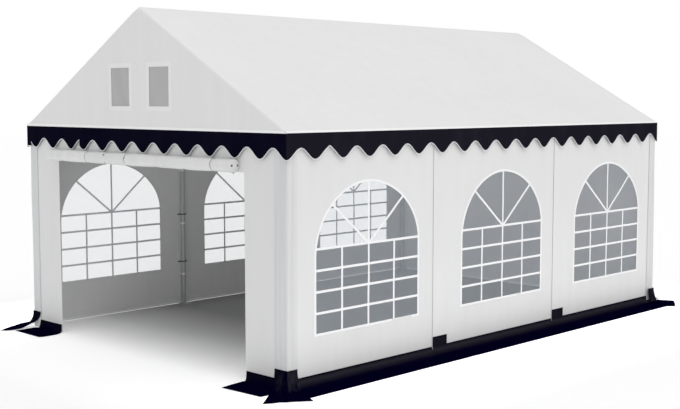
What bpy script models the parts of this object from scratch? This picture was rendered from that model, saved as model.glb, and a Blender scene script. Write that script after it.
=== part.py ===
"""Marquee tent, 4 m by 6 m: a tube frame under a ridged roof cover with scalloped valances,
side walls with arched windows, a front doorway with its door rolled up, and ground skirts.

Metres, +Z up. The origin is on the ground at the middle of the footprint, the ridge runs
along Y, and the open front faces -Y.
"""
import math

import bmesh
import bpy
from mathutils import Matrix, Vector

# Driving dimensions
LENGTH = 6.0                # outside of the end walls, along Y
WIDTH = 4.0                 # outside of the side walls, along X
BAYS = 3                    # bays along each side
RIDGE_Z = 3.30              # top of the roof cover
EAVE_Z = 2.16               # top edge of the roof cover at the eaves
VALANCE_STAND_OFF = 0.025   # outer face of a valance beyond the wall face
CLOTH = 0.004               # solid thickness of the cover, walls and skirts
FILM = 0.002                # thickness of window film and vent mesh
GAP = 0.0003                # between pieces that touch

# Frame tubes
POST_R = 0.025
RAFTER_R = 0.022
RAIL_R = 0.019
SLEEVE_R = 0.030            # eave sleeve and post collar
RIDGE_SLEEVE_R = 0.026
SLEEVE_HALF = 0.045         # half length of a sleeve along Y
COLLAR_Z = 2.100            # lower end of a post collar
SOCKET_DEPTH = 0.018        # post top above the collar's lower end
PLATE = 0.10                # square foot plate
PLATE_INSET = 0.003         # its outer edges, inside the post's surface
PLATE_T = 0.006
GABLE_BAR_Z = 2.070
TUBE_SIDES = 16

# Valance edge
TIP_Z = 1.950
NOTCH_Z = 2.045
SIDE_SCALLOPS = 18
FRONT_PITCH = 0.3317        # scallop pitch, counted from the valance's right corner
JOINT_X = -1.030            # where the front valance's two lengths overlap
JOINT_TIP_X = -1.183        # first tip left of that joint
CORNER_LAP_X = -1.955       # edge of the straight piece that laps its left corner
CORNER_LAP_Z = 1.957
POINTS_PER_SCALLOP = 8

# Walls
WALL_FOOT_Z = 0.003
SEAM_SHIFT = -0.11          # a wall panel's visible edge, from its post line
DOOR_HALF = 1.46            # half width of the doorway
ROLL_R = 0.060
ROLL_HALF = 1.51
ROLL_Z = 1.873
HEADER_FOOT_Z = 1.850
CORNER_LEG = 0.130          # each leg of a corner cover

# Windows
WINDOW_HALF = 0.68
SILL_Z = 0.4215
SPRING_Z = 1.167
ARCH_RISE = 0.5665
ARCH_STEPS = 24
FILM_LAP = 0.015            # window film or vent mesh behind the edge of its opening

# Gable vents
VENT_INNER_X = 0.162
VENT_OUTER_X = 0.4425
VENT_LOW_Z = 2.382
VENT_HIGH_Z = 2.751

# Ground skirts
SKIRT_TOP_Z = 0.085
TAB_TOP_Z = 0.175
TAB_HALF = 0.105
SKIRT_REACH = 0.285         # out from the wall face, on the ground
SKIRT_BEND_R = 0.045
BEND_STEPS = 5
SIDE_SKIRT_SPREAD = 0.130   # extra half length of a side skirt at its ground edge
FRONT_SKIRT_IN = 0.030      # the doorway end of a front skirt's ground edge, from the doorway
FRONT_SKIRT_SPREAD = 0.095  # the corner end of an end skirt's ground edge, from the corner cover
FAN_FRONT_TIP = (2.110, 3.385)
FAN_SIDE_TIP = (2.363, 3.060)
FAN_STATIONS = 9
FAN_BULGE = 0.012

# Places worked out from them
WALL_X = WIDTH / 2
WALL_Y = LENGTH / 2
COVER_X = WALL_X + VALANCE_STAND_OFF
COVER_Y = WALL_Y + VALANCE_STAND_OFF
SLOPE = (RIDGE_Z - EAVE_Z) / COVER_X
SLOPE_COS = 1 / math.hypot(1, SLOPE)
COVER_DROP = CLOTH / SLOPE_COS
POST_X = WALL_X - CLOTH - GAP - POST_R
END_POST_Y = WALL_Y - CLOTH - GAP - POST_R
BAY = LENGTH / BAYS
FRAME_YS = (-END_POST_Y, -BAY / 2, BAY / 2, END_POST_Y)
WALL_TOP_Z = COLLAR_Z - GAP
VALANCE_TOP_Z = EAVE_Z - COVER_DROP - GAP
SIDES = (("left", -1), ("right", 1))

# Axes for flat outlines: drawn in YZ and thickened along X, or drawn in XZ and thickened along Y
YZ_PLANE = Matrix(((0, 0, 1), (1, 0, 0), (0, 1, 0))).to_4x4()
XZ_PLANE = Matrix(((1, 0, 0), (0, 0, -1), (0, 1, 0))).to_4x4()


def cover_underside(x):
    """Height of the roof cover's inner face at a distance x from the ridge."""
    return RIDGE_Z - COVER_DROP - abs(x) * SLOPE


def new_collection(name):
    collection = bpy.data.collections.new(name)
    bpy.context.scene.collection.children.link(collection)
    return collection


def new_material(name, colour, roughness, metallic=0.0):
    material = bpy.data.materials.new(name)
    material.use_nodes = True
    shader = material.node_tree.nodes["Principled BSDF"]
    shader.inputs["Base Color"].default_value = (*colour, 1.0)
    shader.inputs["Roughness"].default_value = roughness
    shader.inputs["Metallic"].default_value = metallic
    material.diffuse_color = (*colour, 1.0)
    return material


for old_object in list(bpy.data.objects):
    bpy.data.objects.remove(old_object, do_unlink=True)

TENT = new_collection("marquee_tent")
CUTTERS = new_collection("cutters")

STEEL = new_material("powder_coated_tube", (0.62, 0.63, 0.64), 0.45, 0.3)
WHITE_CLOTH = new_material("white_cover_cloth", (0.80, 0.81, 0.82), 0.55)
NAVY_CLOTH = new_material("navy_cover_cloth", (0.006, 0.005, 0.022), 0.5)
CLEAR_FILM = new_material("window_film", (0.72, 0.78, 0.82), 0.15)
VENT_MESH = new_material("vent_mesh", (0.45, 0.46, 0.47), 0.7)


def add_object(name, data, material, collection=TENT):
    """One named object that shows data in its own material."""
    new_object = bpy.data.objects.new(name, data)
    collection.objects.link(new_object)
    if material and not data.materials:
        data.materials.append(material)
    return new_object


def smooth(mesh):
    mesh.shade_smooth()
    mesh.set_sharp_from_angle(angle=math.radians(35))


def tube(name, start, end, radius, material=STEEL, collection=TENT):
    """A round tube between two points, with flat ends."""
    start = Vector(start)
    end = Vector(end)
    run = end - start
    shape = bmesh.new()
    bmesh.ops.create_cone(shape, cap_ends=True, segments=TUBE_SIDES,
                          radius1=radius, radius2=radius, depth=run.length)
    mesh = bpy.data.meshes.new(name)
    shape.to_mesh(mesh)
    shape.free()
    smooth(mesh)
    result = add_object(name, mesh, material, collection)
    result.location = (start + end) / 2
    result.rotation_euler = run.to_track_quat("Z", "Y").to_euler()
    return result


def box(name, low, high, material=None, collection=TENT):
    """A box between its lowest and highest corners."""
    low = Vector(low)
    high = Vector(high)
    shape = bmesh.new()
    bmesh.ops.create_cube(shape, size=1)
    bmesh.ops.scale(shape, vec=high - low, verts=shape.verts)
    mesh = bpy.data.meshes.new(name)
    shape.to_mesh(mesh)
    shape.free()
    result = add_object(name, mesh, material, collection)
    result.location = (low + high) / 2
    return result


def combined_mesh(name, body, additions, cuts, material):
    """The mesh of body with other solids joined to it and cut from it; the helpers are removed."""
    for operation, helpers in (("UNION", additions), ("DIFFERENCE", cuts)):
        for helper in helpers:
            modifier = body.modifiers.new(operation.lower(), "BOOLEAN")
            modifier.operation = operation
            modifier.object = helper
    bpy.context.view_layer.update()
    graph = bpy.context.evaluated_depsgraph_get()
    mesh = bpy.data.meshes.new_from_object(body.evaluated_get(graph))
    mesh.transform(body.matrix_world)
    mesh.name = name
    mesh.materials.clear()
    mesh.materials.append(material)
    smooth(mesh)
    for helper in (body, *additions, *cuts):
        bpy.data.objects.remove(helper, do_unlink=True)
    return mesh


def flat_sheet(name, outlines, plane, offset, thickness, material):
    """A flat sheet with the given closed outlines; an outline inside another is a hole."""
    curve = bpy.data.curves.new(name, "CURVE")
    curve.dimensions = "2D"
    curve.fill_mode = "BOTH"
    curve.extrude = thickness / 2
    for outline in outlines:
        spline = curve.splines.new("POLY")
        spline.points.add(len(outline) - 1)
        for point, (across, up) in zip(spline.points, outline):
            point.co = (across, up, 0, 1)
        spline.use_cyclic_u = True
    sheet = add_object(name, curve, material)
    sheet.matrix_world = Matrix.Translation(offset) @ plane
    return sheet


def rectangle(low_across, high_across, low_up, high_up):
    return [(low_across, low_up), (high_across, low_up), (high_across, high_up), (low_across, high_up)]


def lofted_sheet(name, sections, is_covered, material):
    """A sheet through sections of equal length, laid on its inner face and thickened outwards."""
    shape = bmesh.new()
    grid = [[shape.verts.new(point) for point in section] for section in sections]
    for station in range(len(grid) - 1):
        for row in range(len(grid[station]) - 1):
            if is_covered(station, row):
                corners = (grid[station][row], grid[station][row + 1],
                           grid[station + 1][row + 1], grid[station + 1][row])
                shape.faces.new(corners)
    loose = [vertex for vertex in shape.verts if not vertex.link_faces]
    bmesh.ops.delete(shape, geom=loose, context="VERTS")
    mesh = bpy.data.meshes.new(name)
    shape.to_mesh(mesh)
    shape.free()
    smooth(mesh)
    sheet = add_object(name, mesh, material)
    solidify = sheet.modifiers.new("cloth", "SOLIDIFY")
    solidify.thickness = CLOTH
    solidify.offset = 1
    solidify.use_even_offset = True
    return sheet


# Frame: posts with foot plates, rafters with their joints, rails and gable bars

PLATE_SHIFT = PLATE / 2 - (POST_R - PLATE_INSET)


def post_mesh(name, shift_y):
    """A post standing at the origin, its foot plate pushed inwards, to -X and by shift_y."""
    post = tube(name, (0, 0, 0), (0, 0, COLLAR_Z + SOCKET_DEPTH), POST_R, None, CUTTERS)
    plate = box("foot_plate", (-PLATE_SHIFT - PLATE / 2, shift_y - PLATE / 2, 0),
                (-PLATE_SHIFT + PLATE / 2, shift_y + PLATE / 2, PLATE_T), None, CUTTERS)
    return combined_mesh(name, plate, [post], [], STEEL)


def build_posts():
    middle_mesh = post_mesh("middle_post", 0)
    corner_mesh = post_mesh("corner_post", PLATE_SHIFT)
    corner_turns = {("right", 1): 0, ("left", 1): -90, ("left", 4): 180, ("right", 4): 90}
    middle_turns = {"right": 0, "left": 180}
    for side, sign in SIDES:
        for number, y in enumerate(FRAME_YS, start=1):
            is_corner = (side, number) in corner_turns
            turn = corner_turns[side, number] if is_corner else middle_turns[side]
            post = add_object(f"post_{side}_{number}", corner_mesh if is_corner else middle_mesh, STEEL)
            post.location = (sign * POST_X, y, 0)
            post.rotation_euler = (0, 0, math.radians(turn))


def sleeve_centre_z(x, radius):
    """Height at which a sleeve of this radius touches the cover from below."""
    return cover_underside(x) - (radius + GAP) / SLOPE_COS


EAVE_RAIL_Z = sleeve_centre_z(POST_X, SLEEVE_R)
RIDGE_RAIL_Z = sleeve_centre_z(0, RIDGE_SLEEVE_R)


def sleeve(name, x, z, radius, half_length):
    return tube(name, (x, -half_length, z), (x, half_length, z), radius, None, CUTTERS)


def build_rafters():
    """Two rafters that meet in a ridge sleeve, with an eave sleeve and post collar at each end."""
    ridge = (0, 0, RIDGE_RAIL_Z)
    body = sleeve("ridge_sleeve", 0, RIDGE_RAIL_Z, RIDGE_SLEEVE_R, SLEEVE_HALF)
    additions = []
    cuts = [sleeve("ridge_bore", 0, RIDGE_RAIL_Z, RAIL_R + GAP, 2 * SLEEVE_HALF)]
    socket_top = COLLAR_Z + SOCKET_DEPTH + GAP
    for side, sign in SIDES:
        eave_x = sign * POST_X
        additions.append(tube("rafter", (eave_x, 0, EAVE_RAIL_Z), ridge, RAFTER_R, None, CUTTERS))
        additions.append(sleeve("eave_sleeve", eave_x, EAVE_RAIL_Z, SLEEVE_R, SLEEVE_HALF))
        additions.append(tube("collar", (eave_x, 0, COLLAR_Z), (eave_x, 0, EAVE_RAIL_Z),
                              SLEEVE_R, None, CUTTERS))
        cuts.append(sleeve("eave_bore", eave_x, EAVE_RAIL_Z, RAIL_R + GAP, 2 * SLEEVE_HALF))
        cuts.append(tube("socket", (eave_x, 0, COLLAR_Z - 1), (eave_x, 0, socket_top),
                         POST_R + GAP, None, CUTTERS))
    mesh = combined_mesh("rafter_pair", body, additions, cuts, STEEL)
    for number, y in enumerate(FRAME_YS, start=1):
        add_object(f"rafters_{number}", mesh, STEEL).location = (0, y, 0)


def build_rails():
    rail_end = END_POST_Y + SLEEVE_HALF
    tube("ridge_rail", (0, -rail_end, RIDGE_RAIL_Z), (0, rail_end, RIDGE_RAIL_Z), RAIL_R)
    for side, sign in SIDES:
        x = sign * POST_X
        tube(f"eave_rail_{side}", (x, -rail_end, EAVE_RAIL_Z), (x, rail_end, EAVE_RAIL_Z), RAIL_R)
    bar_end = POST_X - POST_R - GAP
    bar_y = WALL_Y - CLOTH - GAP - RAIL_R
    for place, sign in (("front", -1), ("back", 1)):
        tube(f"gable_bar_{place}", (-bar_end, sign * bar_y, GABLE_BAR_Z),
             (bar_end, sign * bar_y, GABLE_BAR_Z), RAIL_R)


# Roof cover: two slopes, two gables with mesh vents, four scalloped valances

def build_slopes():
    for side, sign in SIDES:
        outline = [(sign * GAP / 2, RIDGE_Z - COVER_DROP), (sign * COVER_X, EAVE_Z - COVER_DROP),
                   (sign * COVER_X, EAVE_Z), (sign * GAP / 2, RIDGE_Z)]
        flat_sheet(f"roof_{side}", [outline], XZ_PLANE, (0, 0, 0), 2 * COVER_Y, WHITE_CLOTH)


def build_gables():
    base_z = VALANCE_TOP_Z + GAP
    half_base = (cover_underside(0) - GAP - base_z) / SLOPE
    triangle = [(-half_base, base_z), (half_base, base_z), (0, cover_underside(0) - GAP)]
    vents = [rectangle(VENT_INNER_X, VENT_OUTER_X, VENT_LOW_Z, VENT_HIGH_Z),
             rectangle(-VENT_OUTER_X, -VENT_INNER_X, VENT_LOW_Z, VENT_HIGH_Z)]
    mesh_outline = rectangle(-VENT_OUTER_X - FILM_LAP, VENT_OUTER_X + FILM_LAP,
                             VENT_LOW_Z - FILM_LAP, VENT_HIGH_Z + FILM_LAP)
    gable_y = COVER_Y - CLOTH / 2
    mesh_y = COVER_Y - CLOTH - GAP - FILM / 2
    for place, sign in (("front", -1), ("back", 1)):
        flat_sheet(f"gable_{place}", [triangle, *vents], XZ_PLANE, (0, sign * gable_y, 0),
                   CLOTH, WHITE_CLOTH)
        flat_sheet(f"vent_mesh_{place}", [mesh_outline], XZ_PLANE, (0, sign * mesh_y, 0),
                   FILM, VENT_MESH)


def scallop_z(distance, pitch):
    """Height of the scalloped edge at a distance from one of its tips."""
    wave = math.cos(2 * math.pi * distance / pitch)
    return (NOTCH_Z + TIP_Z) / 2 - (NOTCH_Z - TIP_Z) / 2 * wave


def scalloped_run(start, end, tip, pitch):
    """Points of the scalloped edge from start to end, for a row of scallops with a tip at tip."""
    count = max(2, round((end - start) / pitch * POINTS_PER_SCALLOP))
    places = [start + (end - start) * step / count for step in range(count + 1)]
    return [(place, scallop_z(place - tip, pitch)) for place in places]


def build_valances():
    side_edge = scalloped_run(-COVER_Y, COVER_Y, COVER_Y, 2 * COVER_Y / SIDE_SCALLOPS)
    side_outline = side_edge + [(COVER_Y, VALANCE_TOP_Z), (-COVER_Y, VALANCE_TOP_Z)]
    for side, sign in SIDES:
        flat_sheet(f"valance_{side}", [side_outline], YZ_PLANE,
                   (sign * (COVER_X - CLOTH / 2), 0, 0), CLOTH, NAVY_CLOTH)
    end_half = COVER_X - CLOTH - GAP
    corner_lap = [(-end_half, CORNER_LAP_Z), (CORNER_LAP_X, CORNER_LAP_Z)]
    end_edge = (corner_lap + scalloped_run(CORNER_LAP_X, JOINT_X, JOINT_TIP_X, FRONT_PITCH)
                + scalloped_run(JOINT_X, end_half, COVER_X, FRONT_PITCH))
    end_outline = end_edge + [(end_half, VALANCE_TOP_Z), (-end_half, VALANCE_TOP_Z)]
    for place, sign, turn in (("front", -1, 0), ("back", 1, math.pi)):
        flat_sheet(f"valance_{place}", [end_outline],
                   Matrix.Rotation(turn, 4, "Z") @ XZ_PLANE,
                   (0, sign * (COVER_Y - CLOTH / 2), 0), CLOTH, NAVY_CLOTH)


# Walls: three window panels a side, the front strips and rolled door, the back wall

def window_outline(centre, lap):
    """An arched window's outline about a bay's centre, made larger by lap."""
    half = WINDOW_HALF + lap
    points = [(centre - half, SILL_Z - lap), (centre + half, SILL_Z - lap)]
    for step in range(ARCH_STEPS + 1):
        turn = math.pi * step / ARCH_STEPS
        points.append((centre + half * math.cos(turn), SPRING_Z + (ARCH_RISE + lap) * math.sin(turn)))
    return points


def build_side_walls():
    seams = [-WALL_Y, -BAY / 2 + SEAM_SHIFT, BAY / 2 + SEAM_SHIFT, WALL_Y]
    film_x = WALL_X - CLOTH - GAP - FILM / 2
    for side, sign in SIDES:
        for number in range(1, BAYS + 1):
            centre = (number - 2) * BAY
            low = seams[number - 1] + (GAP / 2 if number > 1 else 0)
            high = seams[number] - (GAP / 2 if number < BAYS else 0)
            flat_sheet(f"wall_{side}_{number}",
                       [rectangle(low, high, WALL_FOOT_Z, WALL_TOP_Z), window_outline(centre, 0)],
                       YZ_PLANE, (sign * (WALL_X - CLOTH / 2), 0, 0), CLOTH, WHITE_CLOTH)
            flat_sheet(f"window_{side}_{number}", [window_outline(centre, FILM_LAP)],
                       YZ_PLANE, (sign * film_x, 0, 0), FILM, CLEAR_FILM)


def build_end_walls():
    end_y = WALL_Y - CLOTH / 2
    inner_x = WALL_X - CLOTH - GAP
    for side, sign in SIDES:
        low, high = sorted((sign * (DOOR_HALF + GAP / 2), sign * inner_x))
        flat_sheet(f"front_wall_{side}", [rectangle(low, high, WALL_FOOT_Z, WALL_TOP_Z)],
                   XZ_PLANE, (0, -end_y, 0), CLOTH, WHITE_CLOTH)
    flat_sheet("back_wall", [rectangle(-inner_x, inner_x, WALL_FOOT_Z, WALL_TOP_Z)],
               XZ_PLANE, (0, end_y, 0), CLOTH, WHITE_CLOTH)


def build_rolled_door():
    """The door's top strip, hung between the front walls, and the rest of it in a roll outside."""
    half = DOOR_HALF - GAP / 2
    roll_y = -(WALL_Y + GAP + ROLL_R)
    strip = box("door_strip", (-half, -WALL_Y, HEADER_FOOT_Z), (half, CLOTH - WALL_Y, WALL_TOP_Z),
                None, CUTTERS)
    lap = box("door_lap", (-half, roll_y + ROLL_R / 2, ROLL_Z - CLOTH),
              (half, CLOTH / 2 - WALL_Y, ROLL_Z + CLOTH), None, CUTTERS)
    roll = tube("door_roll", (-ROLL_HALF, roll_y, ROLL_Z), (ROLL_HALF, roll_y, ROLL_Z),
                ROLL_R, None, CUTTERS)
    mesh = combined_mesh("front_door", roll, [lap, strip], [], WHITE_CLOTH)
    add_object("front_door", mesh, WHITE_CLOTH)


def build_corner_covers():
    """An L of cloth over each corner post, outside the walls."""
    inner = GAP
    outer = GAP + CLOTH
    leg_x = WALL_X - CORNER_LEG
    leg_y = WALL_Y - CORNER_LEG
    outline = [(leg_x, WALL_Y + inner), (leg_x, WALL_Y + outer),
               (WALL_X + outer, WALL_Y + outer), (WALL_X + outer, leg_y),
               (WALL_X + inner, leg_y), (WALL_X + inner, WALL_Y + inner)]
    height = WALL_TOP_Z - WALL_FOOT_Z
    middle = (WALL_TOP_Z + WALL_FOOT_Z) / 2
    for place, sign_y in (("front", -1), ("back", 1)):
        for side, sign_x in SIDES:
            corner = [(sign_x * x, sign_y * y) for x, y in outline]
            flat_sheet(f"corner_cover_{place}_{side}", [corner], Matrix.Identity(4),
                       (0, 0, middle), height, WHITE_CLOTH)


# Ground skirts: along each wall, and a fan at each corner

def skirt_profile(top_z, reach):
    """Distance out and height along a skirt, down the wall, round the bend and over the ground."""
    points = [(0, top_z), (0, SKIRT_TOP_Z)] if top_z > SKIRT_TOP_Z else [(0, top_z)]
    for step in range(BEND_STEPS + 1):
        turn = math.pi / 2 * step / BEND_STEPS
        points.append((SKIRT_BEND_R * (1 - math.cos(turn)), SKIRT_BEND_R * (1 - math.sin(turn))))
    points.append((reach, 0))
    return points


def straight_skirt(name, stations, place, tabs=()):
    """A skirt along a wall. Each station is its place along the wall at the top and on the ground,
    and place turns (along, out, up) into a point. A tab stands on the stretch after its station."""
    profile = skirt_profile(TAB_TOP_Z, SKIRT_REACH)
    sections = []
    for top, ground in stations:
        spread = (ground - top) / (SKIRT_REACH - SKIRT_BEND_R)
        section = [place(top + spread * max(0, out - SKIRT_BEND_R), out, up) for out, up in profile]
        sections.append(section)
    if (sections[1][0] - sections[0][0]).cross(sections[0][-1] - sections[0][0]).z > 0:
        sections.reverse()
        tabs = [len(stations) - 2 - tab for tab in tabs]
    return lofted_sheet(name, sections, lambda station, row: row > 0 or station in tabs, NAVY_CLOTH)


def build_side_skirts():
    half_top = WALL_Y - CORNER_LEG - GAP
    half_ground = half_top + SIDE_SKIRT_SPREAD
    stations = [(-half_top, -half_ground), (half_top, half_ground)]
    for post_y in FRAME_YS[1:-1]:
        stations.append((post_y - TAB_HALF, post_y - TAB_HALF))
        stations.append((post_y + TAB_HALF, post_y + TAB_HALF))
    stations.sort()
    for side, sign in SIDES:
        straight_skirt(f"skirt_{side}", stations,
                       lambda along, out, up, sign=sign: Vector((sign * (WALL_X + GAP + out), along, up)),
                       (1, 3))


def build_end_skirts():
    top_x = WALL_X - CORNER_LEG - GAP
    ground_x = top_x + FRONT_SKIRT_SPREAD
    for side, sign in SIDES:
        stations = [(sign * DOOR_HALF, sign * (DOOR_HALF + FRONT_SKIRT_IN)), (sign * top_x, sign * ground_x)]
        straight_skirt(f"skirt_front_{side}", stations,
                       lambda along, out, up: Vector((along, -(WALL_Y + GAP + out), up)))
    straight_skirt("skirt_back", [(-top_x, -ground_x), (top_x, ground_x)],
                   lambda along, out, up: Vector((along, WALL_Y + GAP + out, up)))


def build_corner_skirts():
    """A fan of cloth over each corner cover's foot, spread out on the ground."""
    off = GAP + CLOTH + GAP
    corner = Vector((WALL_X + off, WALL_Y + off))
    reach = CORNER_LEG - 2 * CLOTH
    front_tip = Vector(FAN_FRONT_TIP)
    side_tip = Vector(FAN_SIDE_TIP)
    outward = (side_tip - front_tip).orthogonal().normalized()
    if outward.x < 0:
        outward.negate()
    base = []
    for station in range(FAN_STATIONS):
        share = station / (FAN_STATIONS - 1)
        along = 2 * reach * share
        if along <= reach:
            top = corner - Vector((reach - along, 0))
        else:
            top = corner - Vector((0, along - reach))
        tip = front_tip.lerp(side_tip, share) + outward * FAN_BULGE * math.sin(math.pi * share)
        run = tip - top
        section = []
        for out, up in skirt_profile(TAB_TOP_Z, run.length):
            point = top + run.normalized() * out
            section.append(Vector((point.x, point.y, up)))
        base.append(section)
    for place, sign_y in (("front", -1), ("back", 1)):
        for side, sign_x in SIDES:
            sections = [[Vector((sign_x * p.x, sign_y * p.y, p.z)) for p in section] for section in base]
            if sign_x * sign_y > 0:
                sections.reverse()
            lofted_sheet(f"corner_skirt_{place}_{side}", sections, lambda station, row: True, NAVY_CLOTH)


build_posts()
build_rafters()
build_rails()
build_slopes()
build_gables()
build_valances()
build_side_walls()
build_end_walls()
build_rolled_door()
build_corner_covers()
build_side_skirts()
build_end_skirts()
build_corner_skirts()
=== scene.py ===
"""Looks of the marquee tent: its cloth cut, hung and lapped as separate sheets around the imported
frame, with window films and bars, the rolled door, ground skirts, fittings and every finish.

Metres, +Z up, in the frame's own axes: the ridge runs along Y and the open front faces -Y.
"""

import math
import random

import bmesh
import bpy
import numpy as np
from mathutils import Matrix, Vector
from mathutils.geometry import delaunay_2d_cdt


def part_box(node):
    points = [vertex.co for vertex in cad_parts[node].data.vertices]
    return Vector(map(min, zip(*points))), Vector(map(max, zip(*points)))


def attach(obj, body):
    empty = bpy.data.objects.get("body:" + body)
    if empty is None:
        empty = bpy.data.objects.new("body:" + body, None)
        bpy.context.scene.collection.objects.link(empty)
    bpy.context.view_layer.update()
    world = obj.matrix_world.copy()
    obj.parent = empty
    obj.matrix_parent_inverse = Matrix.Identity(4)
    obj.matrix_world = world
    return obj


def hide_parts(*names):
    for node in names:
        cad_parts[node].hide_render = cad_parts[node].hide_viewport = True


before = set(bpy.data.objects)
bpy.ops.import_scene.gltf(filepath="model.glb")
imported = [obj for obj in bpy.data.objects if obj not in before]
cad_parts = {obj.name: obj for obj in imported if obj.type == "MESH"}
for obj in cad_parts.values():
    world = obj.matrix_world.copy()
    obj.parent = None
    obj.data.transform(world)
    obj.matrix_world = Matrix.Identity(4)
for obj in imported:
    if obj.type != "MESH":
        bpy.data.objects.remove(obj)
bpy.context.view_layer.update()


def low(node):
    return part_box(node)[0]


def high(node):
    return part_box(node)[1]


# Camera: the photograph's own viewpoint
CAMERA_AT = (8.9266, -9.4513, 2.4401)
CAMERA_PITCH = math.radians(84.770)
CAMERA_TURN = math.radians(44.373)
CAMERA_LENS = 60.79         # mm, on the default 36 mm sensor

# Light and floor
DOME_STRENGTH = 0.64
KEY_STRENGTH = 1.08
SIDE_GLOW = 0.92            # the floor's own light beside the long walls
END_GLOW = 0.36             # and in front of the end walls
FAR_GLOW = 0.12             # and GLOW_REACH away from the tent
GLOW_REACH = 1.6
FLOOR_HALF = 60.0

# Places read from the frame
WALL_X = high("wall_right_1").x
WALL_Y = high("back_wall").y
WALL_TOP_Z = high("back_wall").z
WALL_FOOT_Z = low("back_wall").z
COVER_X = high("valance_right").x
COVER_Y = high("valance_back").y
RIDGE_Z = high("roof_right").z
VALANCE_TOP_Z = high("valance_right").z
TIP_Z = low("valance_right").z - 0.012
EAVE_Z = VALANCE_TOP_Z + 0.005
SLOPE = (RIDGE_Z - EAVE_Z) / COVER_X
DOOR_HALF = low("front_wall_right").x
HEADER_Z = 1.815
POST_X = (low("eave_rail_right").x + high("eave_rail_right").x) / 2
POST_R = WALL_X - POST_X - 0.0043
POST_YS = [(low(f"rafters_{n}").y + high(f"rafters_{n}").y) / 2 for n in (1, 2, 3, 4)]
BAY = 2.0

SIDES = (("left", -1), ("right", 1))
ENDS = (("front", -1), ("back", 1))
CORNERS = [(place, sign_y, side, sign_x) for place, sign_y in ENDS for side, sign_x in SIDES]

# Thicknesses
CLOTH = 0.0016
HEM_CLOTH = 0.0008
FILM = 0.0008
STAGGER = 0.0004            # from one strip of a piece to the next, so that no faces coincide

# Roof and its eave edge
ROOF_SAG = 0.012
ROOF_CREASE = 0.0012
ROOF_ROWS = 44              # on each slope
RIDGE_ROUND = 0.018
EDGE_ROUND = 0.030          # how far back the cover starts to turn down over the end rafter
EDGE_SQUARE = 0.75          # how square that turn is: 1 is round, 0 a sharp edge
HEM_WIDTH = 0.026
EAVE_FOLD = 0.009           # how far the cover's eave edge hangs down

# Gable vents, as spans across the gable, and the hem around each
VENT_INNER_X = 0.157
VENT_OUTER_X = 0.452
VENT_XS = ((VENT_INNER_X, VENT_OUTER_X), (-VENT_OUTER_X, -VENT_INNER_X))
VENT_LOW_Z = 2.376
VENT_HIGH_Z = 2.740
VENT_HEM = 0.045

# Valances
SEWN_Z = EAVE_Z + 0.006     # where their cloth is sewn to the cover
NOTCH_Z = 2.036
SIDE_PITCH = 2 * COVER_Y / 18
FRONT_PITCH = 0.3317
SHORT_PITCH = 0.338
JOINT_X = -1.030
JOINT_TIP_X = -1.187
CORNER_LAP_X = -1.955
CORNER_LAP_Z = 1.950
SIDE_JOINT = 0.508          # a side valance's own joint, from the tent's corner
SIDE_JOINT_Z = 2.050
BINDING_WIDTH = 0.0075

# Walls
SEAM_SHIFT = -0.11          # a wall panel's visible edge, from its post line
LAP = 0.21                  # how far the panel before runs on behind it
LAP_STAND = 0.0055          # how far a panel stands off where it laps the one before
WALL_FOLD = 0.0035          # depth of a side wall's folds
PANE_FOLD = 0.004
COVER_LEGS = {              # how far each corner cover reaches along its end wall and its side wall
    "front_right": (0.154, 0.114), "front_left": (0.136, 0.130),
    "back_right": (0.152, 0.110), "back_left": (0.134, 0.132),
}
COVER_TURN = 0.012          # radius of a cover's bend at the corner
COVER_STAND = {"front": 0.0, "back": 0.018}      # how far a cover stands off at its corner
STAND_AT_FOOT = 1.25        # share of it at the ground
STAND_LOSS = 0.35           # and how much less for each metre up
STRAP_ZS = (0.358, 0.967, 1.60)
LOOP_ZS = (0.508, 1.075)

# Windows
WINDOW_HALF = 0.68
SILL_Z = 0.416
ARCH_TOP_Z = 1.7375
# A window's near and far half: its reach, where its arch springs, and the arch's power, 2 for an ellipse
NEAR_HALF = (WINDOW_HALF, 1.100, 1.94)
FAR_HALF = (WINDOW_HALF + 0.014, 1.167, 1.88)
BAR = 0.022
SPOKE_Y = 0.464
ROW_Z = 1.1665              # height of the topmost bar
ROW_STEP = 0.1852
WINDOW_YS = {1: -2.006, 2: -0.009, 3: 1.975}
WINDOW_SHIFT = {"left": 0.018, "right": 0.0}

# Rolled door
ROLL_R = (-WALL_Y - low("front_door").y) / 2
ROLL_Y = low("front_door").y + ROLL_R
ROLL_Z = low("front_door").z + ROLL_R
ROLL_ENDS = (-1.510, 1.400)
ROLL_TURNS = 8.6
TIE_XS = (-1.26, -0.81, -0.50, -0.14, 0.30, 0.72, 1.135)
TAPE_XS = (-0.810, -0.150, -0.122, 1.135)
TOGGLES = ((-0.495, (58, 73)), (-0.495, (150, 168)), (-0.145, (70, 100)))    # place, degrees round the roll
EYELET_YS = (-0.030, 0.035)     # from the roll's own centre
EYELET_R = 0.006

# Ground skirts
SKIRT_TOP_Z = 0.085
SKIRT_DROP = 0.083          # height over which a skirt bends to the ground
SKIRT_BEND = 0.11           # and how far out that takes it
SKIRT_SHARP = 0.015         # how far out where it is folded sharply
TAB_TOP_Z = 0.176
SKIRT_REACH = 0.298
SKIRT_NEAR_Y = {"left": -2.80, "right": -3.06}      # where a side's ground edge starts
SKIRT_FAR_Y = 3.0
TUCK = 0.105                # how far a side skirt runs on under the far fan
TUCK_DROP = 0.050           # and how far below its top edge

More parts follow.
